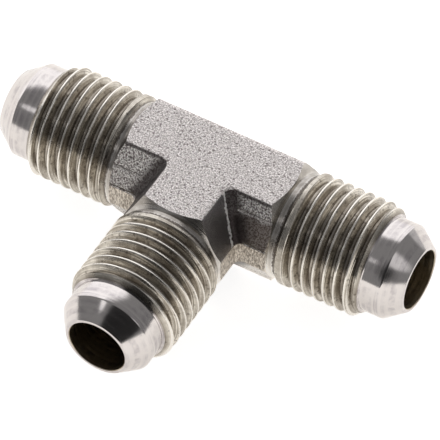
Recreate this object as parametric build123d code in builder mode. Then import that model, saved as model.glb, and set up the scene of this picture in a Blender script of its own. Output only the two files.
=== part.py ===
"""Flare tee fitting: three equal male 37 degree flare ends on one forged body.

Millimetres. The origin is where the three bore axes meet. The run lies along X,
the branch points along -Y, and +Z is up, square to the forged top and bottom faces.
"""
import os
from math import hypot, radians, tan

from build123d import *

# Forged body
body_height = 14.0  # across the top and bottom faces
body_width = 13.6  # across the upright lands at the parting plane
top_flat_width = 7.76  # width of the top face, and of the bottom face
land_height = 3.4  # height of the upright lands
corner_blend = 1.0  # plan radius where the run and the branch meet
edge_round = 0.5  # radius of the forging's long outer edges

# Turned ends, from the rim of the nose inwards
centre_to_end = 27.6  # from the crossing of the bores to each rim
seat_angle = 37.0  # half angle of the flare seat
rim_diameter = 8.4  # outside of the flat rim in front of the seat
nose_diameter = 11.95  # plain nose behind the seat
nose_length = 5.0  # rim to the front of the thread's chamfer
lead_diameter = 12.5  # where the thread's front chamfer starts
lead_length = 0.9  # length of that chamfer
major_diameter = 14.24  # 9/16-18 thread, over its crests
thread_length = 9.65  # full thread
runout_length = 0.45  # slope from the thread down to the neck
neck_length = 0.65  # plain neck behind the thread
neck_drop = 0.2  # depth of the neck below the body's nearest face
shoulder_angle = 30.0  # chamfer of the body's ends, from the end face

# Bores
bore_diameter = 7.5
bore_edge_break = 0.08  # turned break at each bore's mouth

# Places along an arm, from the crossing of the bores
seat_start = centre_to_end - (nose_diameter - rim_diameter) / 2 / tan(radians(seat_angle))
nose_start = centre_to_end - nose_length
thread_end = nose_start - lead_length
thread_start = thread_end - thread_length
neck_end = thread_start - runout_length
shoulder = neck_end - neck_length

neck_radius = min(body_height, body_width) / 2 - neck_drop
bore_radius = bore_diameter / 2
arm_headings = (0, 180, 270)  # two ends of the run and the branch, turned about Z from +X

# Section of the forged arms: six-sided, with its side corners flattened
with BuildSketch() as forged_section:
    with BuildLine():
        Polyline(
            (0, body_height / 2),
            (top_flat_width / 2, body_height / 2),
            (body_width / 2, land_height / 2),
            (body_width / 2, -land_height / 2),
            (top_flat_width / 2, -body_height / 2),
            (0, -body_height / 2),
        )
        mirror(about=Plane.YZ)
    make_face()

with BuildPart() as tee_body:
    # Forged tee
    with BuildSketch(Plane.YZ.offset(-shoulder)):
        add(forged_section.sketch)
    extrude(amount=2 * shoulder)
    with BuildSketch(Plane.XZ):
        add(forged_section.sketch)
    extrude(amount=shoulder)

    # Blends in the two inner corners: upright beside the lands, then with the sloping sides
    slope_in = (body_width - top_flat_width) / 2
    slope_rise = (body_height - land_height) / 2
    for side in (1, -1):
        for up in (1, -1):
            with BuildSketch(Plane.XY.offset(up * land_height / 2)) as corner:
                with Locations((side * body_width / 2, -body_width / 2)):
                    Rectangle(2 * corner_blend, 2 * corner_blend)
                with Locations((side * (body_width / 2 + corner_blend), -body_width / 2 - corner_blend)):
                    Circle(corner_blend, mode=Mode.SUBTRACT)
            extrude(
                amount=hypot(slope_in, slope_in, slope_rise),
                dir=(-side * slope_in, slope_in, up * slope_rise),
            )
            extrude(to_extrude=corner.sketch, amount=land_height / 2, dir=(0, 0, -up))

    # Long outer edges of the flats and lands, along one arm, round the blend and along the next
    long_edges = [
        edge
        for edge in tee_body.edges()
        if edge.bounding_box().size.Z < edge_round
        and abs(edge.center().X) < shoulder - edge_round
        and edge.center().Y > edge_round - shoulder
    ]
    fillet(long_edges, edge_round)

    # Turned ends: the body's end is chamfered round the neck, then the arm is added
    clearing_radius = hypot(body_width, body_height) / 2
    chamfer_length = (clearing_radius - neck_radius) * tan(radians(shoulder_angle))
    for heading in arm_headings:
        arm = Plane.XY.rotated((0, 0, heading))
        arm_axis = Axis(arm.origin, arm.x_dir)
        with BuildSketch(arm):
            Polygon(
                (shoulder, neck_radius),
                (shoulder - chamfer_length, clearing_radius),
                (shoulder, clearing_radius),
                align=None,
            )
        revolve(axis=arm_axis, mode=Mode.SUBTRACT)
        with BuildSketch(arm):
            Polygon(
                (0, 0),
                (0, neck_radius),
                (neck_end, neck_radius),
                (thread_start, major_diameter / 2),
                (thread_end, major_diameter / 2),
                (nose_start, lead_diameter / 2),
                (nose_start, nose_diameter / 2),
                (seat_start, nose_diameter / 2),
                (centre_to_end, rim_diameter / 2),
                (centre_to_end, 0),
                align=None,
            )
        revolve(axis=arm_axis)

    # Bores, each with its edge broken at the mouth
    for heading in arm_headings:
        arm = Plane.XY.rotated((0, 0, heading))
        with BuildSketch(arm):
            Polygon(
                (0, 0),
                (0, bore_radius),
                (centre_to_end - bore_edge_break, bore_radius),
                (centre_to_end, bore_radius + bore_edge_break),
                (centre_to_end, 0),
                align=None,
            )
        revolve(axis=Axis(arm.origin, arm.x_dir), mode=Mode.SUBTRACT)

tee_body.part.label = "tee_body"

os.makedirs("parts", exist_ok=True)
export_step(tee_body.part, "parts/tee_body.step")
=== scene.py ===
"""Flare tee fitting: a forged and blasted steel body with three turned, threaded flare ends."""
import math

import bmesh
import bpy
from mathutils import Matrix, Vector


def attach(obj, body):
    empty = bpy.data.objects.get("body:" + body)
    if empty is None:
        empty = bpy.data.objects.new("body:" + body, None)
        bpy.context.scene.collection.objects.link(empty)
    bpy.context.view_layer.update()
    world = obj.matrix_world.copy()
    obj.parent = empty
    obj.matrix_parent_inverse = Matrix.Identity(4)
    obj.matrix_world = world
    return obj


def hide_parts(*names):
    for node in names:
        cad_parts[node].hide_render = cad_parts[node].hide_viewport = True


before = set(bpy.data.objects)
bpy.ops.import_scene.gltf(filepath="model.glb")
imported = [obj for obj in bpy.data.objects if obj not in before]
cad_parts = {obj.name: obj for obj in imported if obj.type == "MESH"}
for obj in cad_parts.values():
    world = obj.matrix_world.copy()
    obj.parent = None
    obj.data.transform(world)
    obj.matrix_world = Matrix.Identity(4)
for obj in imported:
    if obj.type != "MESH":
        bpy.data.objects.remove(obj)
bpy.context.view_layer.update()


# The camera: a long lens about 0.7 m away, looking down on the fitting from its front right,
# a little past the corner between the branch and the run's right end.
camera_data = bpy.data.cameras.new("camera")
camera_data.lens = 467.0
camera_data.sensor_width = 36.0
camera_data.shift_x = -0.0011
camera_data.shift_y = 0.0011
camera_data.clip_start = 0.05
camera_data.clip_end = 20.0
camera = bpy.data.objects.new("camera", camera_data)
bpy.context.collection.objects.link(camera)
bpy.context.scene.camera = camera
camera_right = Vector((0.86457, 0.5025, -0.00243))
camera_up = Vector((-0.38443, 0.66452, 0.6408))
camera_back = Vector((0.32362, -0.55308, 0.7677))
camera_turn = Matrix((camera_right, camera_up, camera_back)).transposed()
camera.matrix_world = Matrix.Translation((0.221312, -0.377234, 0.518265)) @ camera_turn.to_4x4()


# The tee-shaped middle is hot-forged stainless steel, shot blasted. Its arms are six-sided, with
# upright lands where the flash was trimmed at the parting plane, blended inner corners, small
# folds along the slopes, and one slope of the branch ground flat.
MM = 0.001
body_height = 14.0
body_width = 13.6
top_flat_width = 7.76
land_height = 3.4
corner_blend = 1.0
shoulder = 10.95
hidden_length = 0.3  # of each forged arm, inside the turned neck
crisp_edge, soft_edge = 0.25, 1.0  # radii of the top and bottom faces' edges
flat_border = 0.3  # level strip beside those edges
fold_depth = 0.12
left_fold, right_fold = 4.0, 5.06  # heights of the folds in the two front slopes
burr_height = 0.11


def rounded(before, corner, after, radius, steps=5):
    """Points of the arc that rounds a corner between two straight lines."""
    corner = Vector(corner)
    to_before = (Vector(before) - corner).normalized()
    to_after = (Vector(after) - corner).normalized()
    half = to_before.angle(to_after) / 2
    middle = corner + (to_before + to_after).normalized() * radius / math.sin(half)
    first = (to_before / math.tan(half) * radius + corner - middle).normalized()
    last = (to_after / math.tan(half) * radius + corner - middle).normalized()
    arms = [first.slerp(last, step / steps) * radius for step in range(steps + 1)]
    return [(middle.x + arm.x, middle.y + arm.y) for arm in arms]


def spread(first, last, steps):
    """Evenly spaced points from first towards last, without last."""
    return [
        tuple(a + (b - a) * step / steps for a, b in zip(first, last)) for step in range(steps)
    ]


def half_section(edge_radius):
    """From the middle of a side's land up to the top face: (half width, height, fold)."""
    land_top = (body_width / 2, land_height / 2)
    top_corner = (top_flat_width / 2, body_height / 2)

    def on_slope(height):
        part = (height - land_top[1]) / (top_corner[1] - land_top[1])
        return land_top[0] + part * (top_corner[0] - land_top[0])

    points = [(body_width / 2, height, None) for height in (0.0, 0.4, 0.8, 1.2, 1.48)]
    points += [(body_width / 2, 1.58, "land"), (body_width / 2, 1.68, "land"), (on_slope(1.86), 1.86, None)]
    for fold, height in (("left", left_fold), ("right", right_fold)):
        points += [(on_slope(h), h, None) for h in (height - 0.6, height - 0.2)]
        points.append((on_slope(height - 0.04), height - 0.04, fold))
        points.append((on_slope(height + 0.12), height + 0.12, None))
    top_arc = rounded(land_top, top_corner, (0.0, body_height / 2), edge_radius)
    points.append((on_slope(5.6), 5.6, None))
    points += [(half_width, height, None) for half_width, height in top_arc]
    points.append((top_arc[-1][0] - flat_border, body_height / 2, None))
    return points


def outline(half_width):
    """The tee seen from above at one half width, from the right end round the back: for each
    point its place, how soft the top edge is beside it, and which folds run past it."""
    end, w, r = shoulder + hidden_length, half_width, corner_blend
    left_corner = [
        (-w - r + r * math.sin(math.radians(a)), -w - r + r * math.cos(math.radians(a)))
        for a in range(0, 91, 10)
    ]
    right_corner = [(-x, y) for x, y in reversed(left_corner)]
    sides = [
        (spread((end, w), (-end, w), 48), 1.0, ("land",)),
        (spread((-end, w), (-end, -w), 12), 0.5, ()),
        (spread((-end, -w), left_corner[0], 16), 0.0, ("land", "left")),
        (left_corner[:-1] + spread(left_corner[-1], (-w, -end), 16), 0.2, ("land",)),
        (spread((-w, -end), (w, -end), 12), 0.5, ()),
        (spread((w, -end), right_corner[0], 16), 0.55, ()),
        (right_corner[:-1], 0.3, ()),
        (spread(right_corner[-1], (end, -w), 16), 0.0, ("land", "right")),
        (spread((end, -w), (end, w), 12), 0.5, ()),
    ]
    return [(x, y, softness, folds) for points, softness, folds in sides for x, y in points]


burr_column = 48 + 12 + 16 + 9 + 16 + 12 + 16  # where the ground slope ends at the right corner


def closed_loft(name, rings, ends=True):
    """A closed mesh through rings of equally many points, in millimetres."""
    shape = bmesh.new()
    rows = [[shape.verts.new(Vector(point) * MM) for point in ring] for ring in rings]
    if not ends:
        rows.append(rows[0])
    for low, high in zip(rows, rows[1:]):
        for i in range(len(low)):
            j = (i + 1) % len(low)
            shape.faces.new((low[i], low[j], high[j], high[i]))
    if ends:
        shape.faces.new(list(reversed(rows[0])))
        shape.faces.new(rows[-1])
    bmesh.ops.recalc_face_normals(shape, faces=shape.faces)
    mesh = bpy.data.meshes.new(name)
    shape.to_mesh(mesh)
    shape.free()
    piece = bpy.data.objects.new(name, mesh)
    bpy.context.collection.objects.link(piece)
    return piece


def forged_half(depth, burr):
    """Rings from mid height to the top face, with folds of one depth and a burr of one height."""
    rings = []
    for crisp_row, soft_row in zip(half_section(crisp_edge), half_section(soft_edge)):
        crisp_ring, soft_ring = outline(crisp_row[0]), outline(soft_row[0])
        folded_ring = outline(crisp_row[0] - depth)
        ring = []
        for column, (crisp, soft, folded) in enumerate(zip(crisp_ring, soft_ring, folded_ring)):
            near = folded if crisp_row[2] in crisp[3] else crisp
            share = crisp[2]
            x = near[0] + share * (soft[0] - crisp[0])
            y = near[1] + share * (soft[1] - crisp[1])
            z = crisp_row[1] + share * (soft_row[1] - crisp_row[1])
            if column == burr_column and 2.0 < z < 6.9:
                x += burr * (0.7 + 0.3 * math.sin(9.0 * z))
            ring.append((x, y, z))
        rings.append(ring)
    return rings


lower_half = [[(x, y, -z) for x, y, z in ring] for ring in forged_half(0.04, 0.0)[1:]]
forging_rings = lower_half[::-1] + forged_half(fold_depth, burr_height)
fitting = closed_loft("tee_fitting", forging_rings)
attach(fitting, "root")
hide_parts("tee_body")


def new_node(tree, kind, **settings):
    made = tree.nodes.new(kind)
    for key, value in settings.items():
        setattr(made, key, value)
    return made


def fill(tree, socket, value):
    """Links a socket's value to the input, or writes a plain number or colour there."""
    if isinstance(value, bpy.types.NodeSocket):
        tree.links.new(value, socket)
    else:
        socket.default_value = value


def worked(tree, operation, *values):
    """The result of one sum."""
    node = new_node(tree, "ShaderNodeMath", operation=operation)
    for socket, value in zip(node.inputs, values):
        fill(tree, socket, value)
    return node.outputs[0]


def stepped(tree, value, start, end, low=0.0, high=1.0):
    """Runs smoothly from low to high as the value goes from start to end."""
    node = new_node(tree, "ShaderNodeMapRange", interpolation_type="SMOOTHSTEP")
    names = ("Value", "From Min", "From Max", "To Min", "To Max")
    for name, amount in zip(names, (value, start, end, low, high)):
        fill(tree, node.inputs[name], amount)
    return node.outputs["Result"]


def tinted(tree, share, first, second):
    """The first colour, turning into the second with the share."""
    node = new_node(tree, "ShaderNodeMix", data_type="RGBA")
    fill(tree, node.inputs["Factor"], share)
    fill(tree, node.inputs[6], first)
    fill(tree, node.inputs[7], second)
    return node.outputs[2]


def bumped(tree, shader, height, depth):
    """Raises the surface by the height, depth millimetres at full height."""
    bump = tree.nodes.new("ShaderNodeBump")
    bump.inputs["Distance"].default_value = depth * MM
    tree.links.new(height, bump.inputs["Height"])
    tree.links.new(bump.outputs["Normal"], shader.inputs["Normal"])


def group(name, inputs, outputs):
    """An empty group of nodes with named inputs and outputs."""
    tree = bpy.data.node_groups.new(name, "ShaderNodeTree")
    for label, default in inputs:
        socket = tree.interface.new_socket(label, in_out="INPUT", socket_type="NodeSocketFloat")
        socket.default_value = default
    for label in outputs:
        tree.interface.new_socket(label, in_out="OUTPUT", socket_type="NodeSocketFloat")
    return tree, tree.nodes.new("NodeGroupInput").outputs, tree.nodes.new("NodeGroupOutput").inputs


def noise(tree, place, scale, detail, roughness=0.6):
    node = tree.nodes.new("ShaderNodeTexNoise")
    node.inputs["Detail"].default_value = detail
    node.inputs["Roughness"].default_value = roughness
    fill(tree, node.inputs["Vector"], place)
    fill(tree, node.inputs["Scale"], scale)
    return node.outputs["Fac"]


# Where a point is on the tee, in millimetres: along its arm, out from the arm's axis, up or down
# from the middle, across to the right, forward along the branch, and past the diagonal of the
# inner corners.
place_labels = ("Along", "Radius", "Height", "Across", "Forward", "Corner")
place_group, _, found = group("place_on_tee", (), place_labels)
tree = place_group
where = new_node(tree, "ShaderNodeVectorMath", operation="SCALE")
where.inputs["Scale"].default_value = 1 / MM
tree.links.new(tree.nodes.new("ShaderNodeTexCoord").outputs["Object"], where.inputs[0])
parts = tree.nodes.new("ShaderNodeSeparateXYZ")
tree.links.new(where.outputs[0], parts.inputs[0])
across, back, up = (worked(tree, "ABSOLUTE", parts.outputs[axis]) for axis in range(3))
aside = worked(tree, "MINIMUM", across, back)
squares = worked(tree, "ADD", worked(tree, "MULTIPLY", aside, aside), worked(tree, "MULTIPLY", up, up))
fill(tree, found["Along"], worked(tree, "MAXIMUM", across, back))
fill(tree, found["Radius"], worked(tree, "SQRT", squares))
fill(tree, found["Height"], parts.outputs[2])
fill(tree, found["Across"], parts.outputs[0])
forward = worked(tree, "MULTIPLY", parts.outputs[1], -1.0)
fill(tree, found["Forward"], forward)
fill(tree, found["Corner"], worked(tree, "SUBTRACT", forward, across))

# Blasted grain: a height, a speckle of light and dark grains, small dark pits, and slow patches.
grain_group, given, found = group(
    "blasted_grain",
    (("Grain Size", 0.25), ("Upright", 1.0), ("Pit Size", 0.5)),
    ("Height", "Speckle", "Pits", "Patch"),
)
tree = grain_group
stretch = tree.nodes.new("ShaderNodeCombineXYZ")
for axis, amount in enumerate((1.0, 1.0, given["Upright"])):
    fill(tree, stretch.inputs[axis], amount)
where = new_node(tree, "ShaderNodeVectorMath", operation="MULTIPLY")
tree.links.new(tree.nodes.new("ShaderNodeTexCoord").outputs["Object"], where.inputs[0])
tree.links.new(stretch.outputs[0], where.inputs[1])
grain_scale = worked(tree, "DIVIDE", 1 / MM, given["Grain Size"])
height = noise(tree, where.outputs[0], grain_scale, 2.5, 0.75)
speckle = noise(tree, where.outputs[0], worked(tree, "MULTIPLY", grain_scale, 1.3), 1.5, 0.8)
pit = new_node(tree, "ShaderNodeTexVoronoi", feature="F1")
tree.links.new(where.outputs[0], pit.inputs["Vector"])
fill(tree, pit.inputs["Scale"], worked(tree, "DIVIDE", 1 / MM, given["Pit Size"]))
fill(tree, found["Height"], stepped(tree, height, 0.3, 0.7))
fill(tree, found["Speckle"], stepped(tree, speckle, 0.39, 0.61))
fill(tree, found["Pits"], stepped(tree, pit.outputs["Distance"], 0.16, 0.3, 1.0, 0.0))
fill(tree, found["Patch"], stepped(tree, noise(tree, where.outputs[0], 0.3 / MM, 2.0), 0.35, 0.65))


def steel(name, roughness):
    """A steel material with nothing on it yet: its tree and its shader."""
    made = bpy.data.materials.new(name)
    made.use_nodes = True
    shader = made.node_tree.nodes["Principled BSDF"]
    shader.inputs["Metallic"].default_value = 1.0
    shader.inputs["Roughness"].default_value = roughness
    return made, made.node_tree, shader


def placed(tree, node_tree, **values):
    """Puts a group into a material, with its own values, and gives its outputs."""
    node = new_node(tree, "ShaderNodeGroup", node_tree=node_tree)
    for name, value in values.items():
        node.inputs[name.replace("_", " ").title()].default_value = value
    return node.outputs


# The top and bottom faces: pale, evenly blasted, with dark pits in the grain.
top_steel, tree, shader = steel("blasted_flats", 0.46)
grain = placed(tree, grain_group, grain_size=0.24, pit_size=0.6)
pale = tinted(tree, grain["Speckle"], (0.38, 0.35, 0.34, 1), (1.0, 0.96, 0.95, 1))
pale = tinted(tree, worked(tree, "MULTIPLY", grain["Patch"], 0.12), pale, (0.56, 0.53, 0.53, 1))
pale = tinted(tree, worked(tree, "MULTIPLY", grain["Pits"], 0.7), pale, (0.12, 0.09, 0.09, 1))
tree.links.new(pale, shader.inputs["Base Color"])
bumped(tree, shader, grain["Height"], 0.06)

# The slopes: coarse bright grain above the fold, finer grain below it. Below its fold the right
# front slope is darker, painted shade from the branch, and the lower half's plain tone is lighter,
# a painted reflection of the floor. Painted shade darkens the front slopes' folds and a strip under
# their top edge, and the inner corners and the branch's slopes past them. The back slopes have one
# even grain.
slope_steel, tree, shader = steel("blasted_slopes", 0.40)
grain = placed(tree, grain_group, grain_size=0.26, pit_size=0.6)
place = placed(tree, place_group)
left_side = stepped(tree, place["Across"], -0.5, 0.5, 1.0, 0.0)
fold_rise = worked(tree, "ADD", worked(tree, "MULTIPLY", left_side, left_fold - right_fold), right_fold)
above = worked(tree, "SUBTRACT", place["Height"], fold_rise)
waver = worked(tree, "MULTIPLY", worked(tree, "SUBTRACT", grain["Patch"], 0.5), 0.8)
# Below its fold the right front slope keeps little of the coarse grain, so it takes the dark plain tone.
below_fold = worked(tree, "ADD", worked(tree, "MULTIPLY", left_side, 0.75), 0.1)
coarse = stepped(tree, worked(tree, "ADD", above, waver), -0.6, 0.5, below_fold, 1.0)
behind = worked(tree, "LESS_THAN", place["Forward"], 0.0)
evened = worked(tree, "MULTIPLY", behind, worked(tree, "SUBTRACT", 0.7, coarse))
coarse = worked(tree, "ADD", coarse, evened)
shade = tinted(tree, grain["Speckle"], (0.17, 0.15, 0.15, 1), (1.0, 0.98, 0.97, 1))
# The dark plain tone: finer grain, and painted shade where the branch shades the right front slope.
plain_shade = tinted(tree, grain["Speckle"], (0.16, 0.13, 0.12, 1), (0.36, 0.32, 0.30, 1))
# The lower half's lighter plain tone is a painted reflection of the floor.
painted_floor_reflection = tinted(tree, grain["Speckle"], (0.55, 0.52, 0.50, 1), (0.92, 0.90, 0.88, 1))
plain_shade = tinted(tree, stepped(tree, place["Height"], -0.5, 0.5, 1.0, 0.0), plain_shade, painted_floor_reflection)
shade = tinted(tree, coarse, plain_shade, shade)
# Painted shade along the fold grooves of the front slopes.
fold_shade = stepped(tree, worked(tree, "ABSOLUTE", above), 0.05, 0.16, 0.8, 0.0)
# Painted shadow in a strip just under the top edge of the front slopes.
under_edge = stepped(tree, place["Height"], 6.52, 6.68)
edge_shade = worked(tree, "MULTIPLY", under_edge, stepped(tree, place["Height"], 6.9, 6.99, 1.0, 0.0))
# Painted shade in the inner corners, carried on over the branch's slopes past them.
corner_shade = stepped(tree, place["Corner"], -2.3, -0.7, 0.0, 0.88)
lines = worked(tree, "MAXIMUM", fold_shade, worked(tree, "MULTIPLY", edge_shade, 0.8))
lines = worked(tree, "MULTIPLY", lines, worked(tree, "SUBTRACT", 1.0, behind))
dark = worked(tree, "MAXIMUM", lines, corner_shade)
shade = tinted(tree, dark, shade, (0.05, 0.04, 0.04, 1))
tree.links.new(shade, shader.inputs["Base Color"])
broken = worked(tree, "MULTIPLY", grain["Speckle"], coarse)
broken = worked(tree, "MULTIPLY", broken, worked(tree, "SUBTRACT", 1.0, dark))
bare = worked(tree, "SUBTRACT", 1.0, worked(tree, "MULTIPLY", broken, 0.15))
tree.links.new(bare, shader.inputs["Metallic"])
bumped(tree, shader, worked(tree, "MULTIPLY", grain["Height"], coarse), 0.09)

# The lands: trimmed through, so warmer and scraped upright, with dark specks.
land_steel, tree, shader = steel("trimmed_lands", 0.36)
grain = placed(tree, grain_group, grain_size=0.24, upright=0.35, pit_size=0.55)
place = placed(tree, place_group)
warm = tinted(tree, grain["Speckle"], (0.30, 0.265, 0.225, 1), (0.76, 0.70, 0.63, 1))
warm = tinted(tree, worked(tree, "MULTIPLY", grain["Pits"], 0.5), warm, (0.14, 0.11, 0.08, 1))
# Painted shade in the groove along the lands' upper edge.
land_edge_shade = worked(tree, "MULTIPLY", stepped(tree, place["Height"], 1.5, 1.58), 0.85)
warm = tinted(tree, land_edge_shade, warm, (0.05, 0.04, 0.03, 1))
tree.links.new(warm, shader.inputs["Base Color"])
bumped(tree, shader, grain["Height"], 0.10)

# The ground slope: smooth and dark, finely scratched, with a bright burr at the inner corner.
ground_steel, tree, shader = steel("ground_flat", 0.26)
grain = placed(tree, grain_group, grain_size=0.14, upright=0.1, pit_size=0.9)
place = placed(tree, place_group)
grey = tinted(tree, grain["Speckle"], (0.27, 0.26, 0.26, 1), (0.36, 0.35, 0.35, 1))
grey = tinted(tree, worked(tree, "MULTIPLY", grain["Patch"], 0.35), grey, (0.20, 0.18, 0.18, 1))
chips = noise(tree, tree.nodes.new("ShaderNodeTexCoord").outputs["Object"], 1.9 / MM, 2.0)
ragged = worked(tree, "ADD", place["Corner"], worked(tree, "SUBTRACT", chips, 0.5))
burr = worked(tree, "MULTIPLY", stepped(tree, ragged, 0.80, 0.88), stepped(tree, ragged, 1.2, 1.3, 1.0, 0.0))
grey = tinted(tree, burr, grey, (1.0, 0.98, 0.96, 1))
tree.links.new(grey, shader.inputs["Base Color"])
tree.links.new(worked(tree, "SUBTRACT", 1.0, worked(tree, "MULTIPLY", burr, 0.85)), shader.inputs["Metallic"])
bumped(tree, shader, grain["Height"], 0.012)

for finish in (top_steel, slope_steel, land_steel, ground_steel):
    fitting.data.materials.append(finish)
for face in fitting.data.polygons:
    upward = abs(face.normal.z)
    middle = face.center / MM
    if upward > 0.75:
        face.material_index = 0
    elif upward < 0.3 or abs(middle.z) < 1.7:
        face.material_index = 2
    elif middle.x > 0 and -middle.y - middle.x > 0.85 and middle.z > 0:
        face.material_index = 3
    else:
        face.material_index = 1


def combine(piece, tool, operation):
    """Joins a tool to the piece or cuts it away, each keeping its own finish."""
    step = piece.modifiers.new("combine", "BOOLEAN")
    step.operation = operation
    step.object = tool
    step.solver = "MANIFOLD"
    step.material_mode = "TRANSFER"
    ready = bpy.context.evaluated_depsgraph_get()
    done = bpy.data.meshes.new_from_object(piece.evaluated_get(ready))
    piece.modifiers.clear()
    piece.data = done
    bpy.data.objects.remove(tool)


# The three ends are turned on the forging. Each has a chamfered shoulder and a plain neck, then a
# right-hand 9/16-18 thread with a chamfered front, a plain nose and a 37 degree seat.
arm_headings = (0, 180, 270)
columns = 144
neck_radius = 6.6
shoulder_slope = math.tan(math.radians(35))
shoulders = {0: 10.75, 180: 10.95, 270: 10.9}  # where each arm's body ends
major_radius = 7.12
thread_depth = 0.86
pitch = 1.411
neck_end = 11.6
thread_start = 12.05
thread_end = 21.7
nose_start = 22.6
lead_radius = 6.25
nose_radius = 5.975
seat_start = 25.24
centre_to_end = 27.6
rim_radius = 4.2
groove_start = 12.5  # middle of the groove where it begins to be cut
groove_turns = {0: 188.0, 180: 203.0, 270: 202.0}  # how far each arm's thread is turned, degrees

# Turning marks: fine rings round an arm, as a height, and smears that cross them.
marks_group, given, found = group("turning_marks", (("Lines Per Mm", 9.0),), ("Lines", "Bands", "Smears"))
tree = marks_group
place = placed(tree, place_group)
for label, rate in (("Lines", given["Lines Per Mm"]), ("Bands", 1.6)):
    rings = new_node(tree, "ShaderNodeTexNoise", noise_dimensions="1D")
    rings.inputs["Detail"].default_value = 2.0
    rings.inputs["Scale"].default_value = 1.0
    fill(tree, rings.inputs["W"], worked(tree, "MULTIPLY", place["Along"], rate))
    fill(tree, found[label], stepped(tree, rings.outputs["Fac"], 0.3, 0.7))
smears = noise(tree, tree.nodes.new("ShaderNodeTexCoord").outputs["Object"], 0.45 / MM, 4.0, 0.65)
fill(tree, found["Smears"], stepped(tree, smears, 0.36, 0.66))


def turned_finish(name, dark, light, roughness, mark_depth, lines_per_mm):
    made, tree, shader = steel(name, roughness)
    marks = placed(tree, marks_group, lines_per_mm=lines_per_mm)
    shade = tinted(tree, worked(tree, "MULTIPLY", marks["Bands"], marks["Smears"]), light, dark)
    tree.links.new(shade, shader.inputs["Base Color"])
    rough = worked(tree, "ADD", worked(tree, "MULTIPLY", marks["Smears"], 0.08), roughness)
    tree.links.new(rough, shader.inputs["Roughness"])
    bumped(tree, shader, marks["Lines"], mark_depth)
    return made


turned_steel = turned_finish("turned_steel", (0.46, 0.43, 0.44, 1), (0.66, 0.63, 0.62, 1), 0.11, 0.0012, 11.0)

# Shoulders and necks: turned bright, darker towards their upper side, and the necks with a dark
# band at their end before the thread.
def darkened_turned_finish(name, top_dark_share, end_dark_share):
    made, tree, shader = steel(name, 0.18)
    marks = placed(tree, marks_group, lines_per_mm=8.0)
    grain = placed(tree, grain_group, grain_size=0.35, pit_size=0.5)
    place = placed(tree, place_group)
    ragged_along = worked(tree, "ADD", place["Along"], worked(tree, "MULTIPLY", grain["Speckle"], 0.16))
    end_band = worked(tree, "MULTIPLY", stepped(tree, ragged_along, 11.42, 11.56), end_dark_share)
    top_darkening = stepped(tree, place["Height"], -2.0, 2.5, 0.0, top_dark_share)
    uneven = worked(tree, "ADD", worked(tree, "MULTIPLY", marks["Smears"], 0.4), 0.7)
    top_darkening = worked(tree, "MULTIPLY", top_darkening, uneven)
    bright = tinted(tree, marks["Bands"], (0.68, 0.65, 0.61, 1), (0.90, 0.88, 0.85, 1))
    bright = tinted(tree, worked(tree, "MAXIMUM", end_band, top_darkening), bright, (0.07, 0.055, 0.045, 1))
    tree.links.new(bright, shader.inputs["Base Color"])
    bumped(tree, shader, marks["Lines"], 0.003)
    return made


faced_steel = darkened_turned_finish("faced_shoulders", 0.55, 0.0)
neck_steel = darkened_turned_finish("turned_necks", 0.65, 0.9)


# The thread: bright crests, partly worn metal and partly painted highlight, brown-grey flanks with streaks
# from the die, and painted shade in the roots.
thread_steel, tree, shader = steel("thread_steel", 0.22)
marks = placed(tree, marks_group, lines_per_mm=7.0)
grain = placed(tree, grain_group, grain_size=0.5, pit_size=0.8)
place = placed(tree, place_group)
flank = tinted(tree, marks["Lines"], (0.36, 0.33, 0.285, 1), (0.72, 0.685, 0.62, 1))
flank = tinted(tree, worked(tree, "MULTIPLY", marks["Smears"], 0.55), flank, (0.24, 0.205, 0.165, 1))
root_radius = major_radius - thread_depth
# Painted shade in the thread's roots.
root = stepped(tree, place["Radius"], root_radius, root_radius + 0.4 * thread_depth, 0.45, 0.0)
flank = tinted(tree, root, flank, (0.13, 0.105, 0.085, 1))
flank = tinted(tree, worked(tree, "MULTIPLY", grain["Pits"], 0.5), flank, (0.06, 0.045, 0.035, 1))
# Brighter crest flats and last crest: worn metal, with a painted highlight where the crests catch the light.
crest = stepped(tree, place["Radius"], major_radius - 0.07, major_radius - 0.015)
crest = worked(tree, "MULTIPLY", crest, stepped(tree, place["Along"], 12.75, 13.0, 0.15, 1.0))
last_crest = stepped(tree, place["Along"], thread_end - 0.25, thread_end - 0.1)
outermost = stepped(tree, place["Radius"], major_radius - 0.5, major_radius - 0.3)
last_crest = worked(tree, "MULTIPLY", last_crest, outermost)
crest = worked(tree, "MAXIMUM", crest, last_crest)
tree.links.new(tinted(tree, crest, flank, (0.84, 0.81, 0.76, 1)), shader.inputs["Base Color"])
rough = worked(tree, "ADD", worked(tree, "MULTIPLY", marks["Smears"], 0.14), 0.18)
tree.links.new(rough, shader.inputs["Roughness"])
bumped(tree, shader, marks["Lines"], 0.014)


def turned(name, profile, heading, finish, ends=True):
    """A turned shape round one arm's axis, from (distance along the arm, radius) points."""
    spin = Matrix.Rotation(math.radians(heading), 3, "Z")
    rings = []
    for along, radius in profile:
        ring = []
        for column in range(columns):
            a = 2 * math.pi * column / columns
            ring.append(spin @ Vector((along, radius * math.cos(a), radius * math.sin(a))))
        rings.append(ring)
    piece = closed_loft(name, rings, ends)
    piece.data.materials.append(finish)
    return piece


for heading in arm_headings:
    reach, past = 3.4, 0.6
    shoulder_tool = [
        (shoulders[heading] + past, neck_radius - past / shoulder_slope),
        (shoulders[heading] - reach * shoulder_slope, neck_radius + reach),
        (shoulders[heading] + past, neck_radius + reach),
    ]
    combine(fitting, turned("shoulder_tool", shoulder_tool, heading, faced_steel, ends=False), "DIFFERENCE")

crest_share, root_share = 0.13, 0.17
flank = [0.335 * part + crest_share / 2 + 0.015 for part in (0.0, 0.33, 0.67, 1.0)]
thread_shares = [0.0, crest_share / 2 - 0.015] + flank + [0.47, 0.5]
thread_shares += [1 - share for share in reversed(thread_shares[1:-1])]


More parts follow.
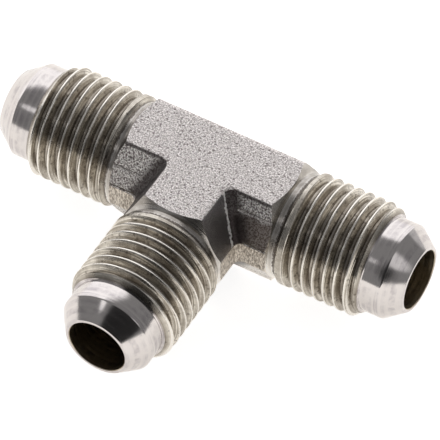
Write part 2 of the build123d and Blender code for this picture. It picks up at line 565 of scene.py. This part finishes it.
def groove_depth(share):
    """Depth of the thread's groove, 0 on the crest to 1 in the root, over one pitch."""
    from_crest = abs((share + 0.5) % 1.0 - 0.5)
    part = (from_crest - crest_share / 2) / (0.5 - crest_share / 2 - root_share / 2)
    return min(max(part, 0.0), 1.0)


def blank_radius(along):
    """The turned end before its thread is cut."""
    if along < thread_start:
        part = max(along - neck_end, 0.0) / (thread_start - neck_end)
        return neck_radius + part * (major_radius - neck_radius)
    part = max(along - thread_end, 0.0) / (nose_start - thread_end)
    return major_radius + part * (lead_radius - major_radius)


def threaded_end(heading):
    """One end: rings for its plain lengths, and rows that follow the helix for its thread."""
    spin = Matrix.Rotation(math.radians(heading), 3, "Z")
    shape = bmesh.new()

    def point(along, radius, column):
        a = 2 * math.pi * column / columns
        return shape.verts.new(spin @ Vector((along, radius * math.cos(a), radius * math.sin(a))) * MM)

    def rings(profile):
        return [[point(along, radius, column) for column in range(columns)] for along, radius in profile]

    neck = rings([(9.3, 5.2), (9.6, neck_radius), (shoulder + 0.2, neck_radius), (neck_end, neck_radius)])
    nose = rings([
        (nose_start, lead_radius),
        (nose_start + 0.02, nose_radius + 0.1),
        (nose_start + 0.12, nose_radius),
        (nose_start + 0.9, nose_radius),
        (seat_start - 0.12, nose_radius),
        (seat_start - 0.03, nose_radius - 0.02),
        (seat_start + 0.06, nose_radius - 0.085),
        (centre_to_end - 0.05, rim_radius + 0.04),
        (centre_to_end, rim_radius - 0.03),
    ])
    groove_zero = groove_start - pitch * (90 + groove_turns[heading]) / 360
    crest_zero = groove_zero - pitch / 2
    first_turn = math.floor((neck_end - crest_zero) / pitch) - 2
    last_turn = math.ceil((nose_start - crest_zero) / pitch) + 1
    rows = []
    for turn in range(first_turn, last_turn + 1):
        for share in thread_shares:
            row = []
            for column in range(columns):
                round_part = column / columns
                along = crest_zero + pitch * (turn + share + round_part)
                along = min(max(along, neck_end), nose_start)
                own_share = (along - crest_zero) / pitch - round_part
                begun = (crest_zero + pitch * (turn + 0.5 + round_part) - groove_start) / pitch / 0.25
                cut = major_radius - thread_depth * groove_depth(own_share) * min(max(begun, 0.0), 1.0)
                row.append(point(along, min(blank_radius(along), cut), column))
            rows.append(row)
    per_turn = len(thread_shares)
    for number in range(len(rows) - 1):
        low, high = rows[number], rows[number + 1]
        for i in range(columns - 1):
            shape.faces.new((low[i], low[i + 1], high[i + 1], high[i]))
        if number + 1 + per_turn < len(rows):
            shape.faces.new((low[-1], rows[number + per_turn][0], rows[number + 1 + per_turn][0], high[-1]))
    for face in shape.faces:
        face.material_index = 1
    for part, finish in ((neck, 2), (nose, 0)):
        for low, high in zip(part, part[1:]):
            for i in range(columns):
                j = (i + 1) % columns
                shape.faces.new((low[i], low[j], high[j], high[i])).material_index = finish
    shape.faces.new(list(reversed(neck[0])))
    shape.faces.new(nose[-1])
    bmesh.ops.remove_doubles(shape, verts=shape.verts, dist=2e-6)
    bmesh.ops.dissolve_degenerate(shape, edges=shape.edges, dist=1e-7)
    bmesh.ops.recalc_face_normals(shape, faces=shape.faces)
    mesh = bpy.data.meshes.new("threaded_end")
    shape.to_mesh(mesh)
    shape.free()
    mesh.materials.append(turned_steel)
    mesh.materials.append(thread_steel)
    mesh.materials.append(neck_steel)
    piece = bpy.data.objects.new("threaded_end", mesh)
    bpy.context.collection.objects.link(piece)
    return piece


for heading in arm_headings:
    combine(fitting, threaded_end(heading), "UNION")


# The bores are drilled from the three ends and meet in the middle, with their mouths' edges broken.
bore_radius = 3.75
edge_break = 0.08
bore_steel = turned_finish("bore_steel", (0.16, 0.13, 0.09, 1), (0.52, 0.45, 0.34, 1), 0.3, 0.012, 4.0)

mouth = [(centre_to_end - edge_break, bore_radius), (centre_to_end + 0.2, bore_radius + edge_break + 0.2)]
run_drill = [(-along, radius) for along, radius in reversed(mouth)] + mouth
combine(fitting, turned("run_drill", run_drill, 0, bore_steel), "DIFFERENCE")
combine(fitting, turned("branch_drill", [(0.0, bore_radius)] + mouth, 270, bore_steel), "DIFFERENCE")

# Joining and drilling leave some points all but touching. They are merged, so that the surface
# has no slivers where its pieces meet.
merge_gap = 0.0002
whole = bmesh.new()
whole.from_mesh(fitting.data)
bmesh.ops.remove_doubles(whole, verts=whole.verts, dist=merge_gap * MM)
bmesh.ops.dissolve_degenerate(whole, edges=whole.edges, dist=merge_gap * MM)
whole.to_mesh(fitting.data)
whole.free()
fitting.data.polygons.foreach_set("use_smooth", [True] * len(fitting.data.polygons))
fitting.data.set_sharp_from_angle(angle=math.radians(28))


# The floor is plain pale board, on which the fitting rests on its thread crests. The camera and
# reflections see it white, and it keeps the shadow.
floor_mesh = bpy.data.meshes.new("floor")
floor_mesh.from_pydata([(-1.5, -1.5, 0), (1.5, -1.5, 0), (1.5, 1.5, 0), (-1.5, 1.5, 0)], [], [(0, 1, 2, 3)])
floor_mesh.transform(Matrix.Translation((0, 0, -major_radius * MM)))
floor = bpy.data.objects.new("floor", floor_mesh)
bpy.context.collection.objects.link(floor)
floor_paint = bpy.data.materials.new("floor_paint")
floor_paint.use_nodes = True
tree = floor_paint.node_tree
tree.nodes.clear()
paint = tree.nodes.new("ShaderNodeBsdfDiffuse")
paint.inputs["Color"].default_value = (0.8, 0.79, 0.78, 1)
glow = tree.nodes.new("ShaderNodeEmission")
ray = tree.nodes.new("ShaderNodeLightPath")
warm = tinted(tree, ray.outputs["Is Camera Ray"], (1.0, 0.965, 0.91, 1), (1.0, 1.0, 1.0, 1))
tree.links.new(warm, glow.inputs["Color"])
in_view = worked(tree, "MULTIPLY", ray.outputs["Is Camera Ray"], 0.86)
in_gloss = worked(tree, "MULTIPLY", ray.outputs["Is Glossy Ray"], 0.80)
fill(tree, glow.inputs["Strength"], worked(tree, "MAXIMUM", in_view, in_gloss))
total = tree.nodes.new("ShaderNodeAddShader")
tree.links.new(paint.outputs[0], total.inputs[0])
tree.links.new(glow.outputs[0], total.inputs[1])
surface = tree.nodes.new("ShaderNodeOutputMaterial")
tree.links.new(total.outputs[0], surface.inputs["Surface"])
floor.data.materials.append(floor_paint)


# Soft studio light: a wide bright side behind and to the left, grey surroundings, and a dark
# front right.
world = bpy.data.worlds.new("studio")
bpy.context.scene.world = world
world.use_nodes = True
tree = world.node_tree
background = tree.nodes["Background"]
direction = tree.nodes.new("ShaderNodeTexCoord")


def lobe(azimuth, elevation, inner, outer, amount):
    """A round patch of light: full within inner degrees of its middle, none past outer."""
    a, e = math.radians(azimuth), math.radians(elevation)
    middle = (math.sin(a) * math.cos(e), -math.cos(a) * math.cos(e), math.sin(e))
    towards = new_node(tree, "ShaderNodeVectorMath", operation="DOT_PRODUCT")
    towards.inputs[1].default_value = middle
    tree.links.new(direction.outputs["Generated"], towards.inputs[0])
    near, far = (math.cos(math.radians(angle)) for angle in (inner, outer))
    return stepped(tree, towards.outputs["Value"], far, near, 0.0, amount)


level = worked(tree, "MAXIMUM", lobe(-125, 22, 34, 43, 1.15), lobe(-160, 25, 34, 43, 1.15))
level = worked(tree, "MAXIMUM", level, lobe(155, 8, 8, 14, 0.36))
level = worked(tree, "MAXIMUM", level, lobe(82, 33, 10, 17, 0.55))
level = worked(tree, "MAXIMUM", level, lobe(-34, 45.5, 4.5, 6.5, 1.0))
level = worked(tree, "ADD", level, 0.25)
level = worked(tree, "SUBTRACT", level, lobe(30, 32, 30, 39, 0.225))
fill(tree, background.inputs["Strength"], level)
background.inputs["Color"].default_value = (1.0, 0.985, 0.985, 1)

view = bpy.context.scene.view_settings
view.view_transform = "Standard"
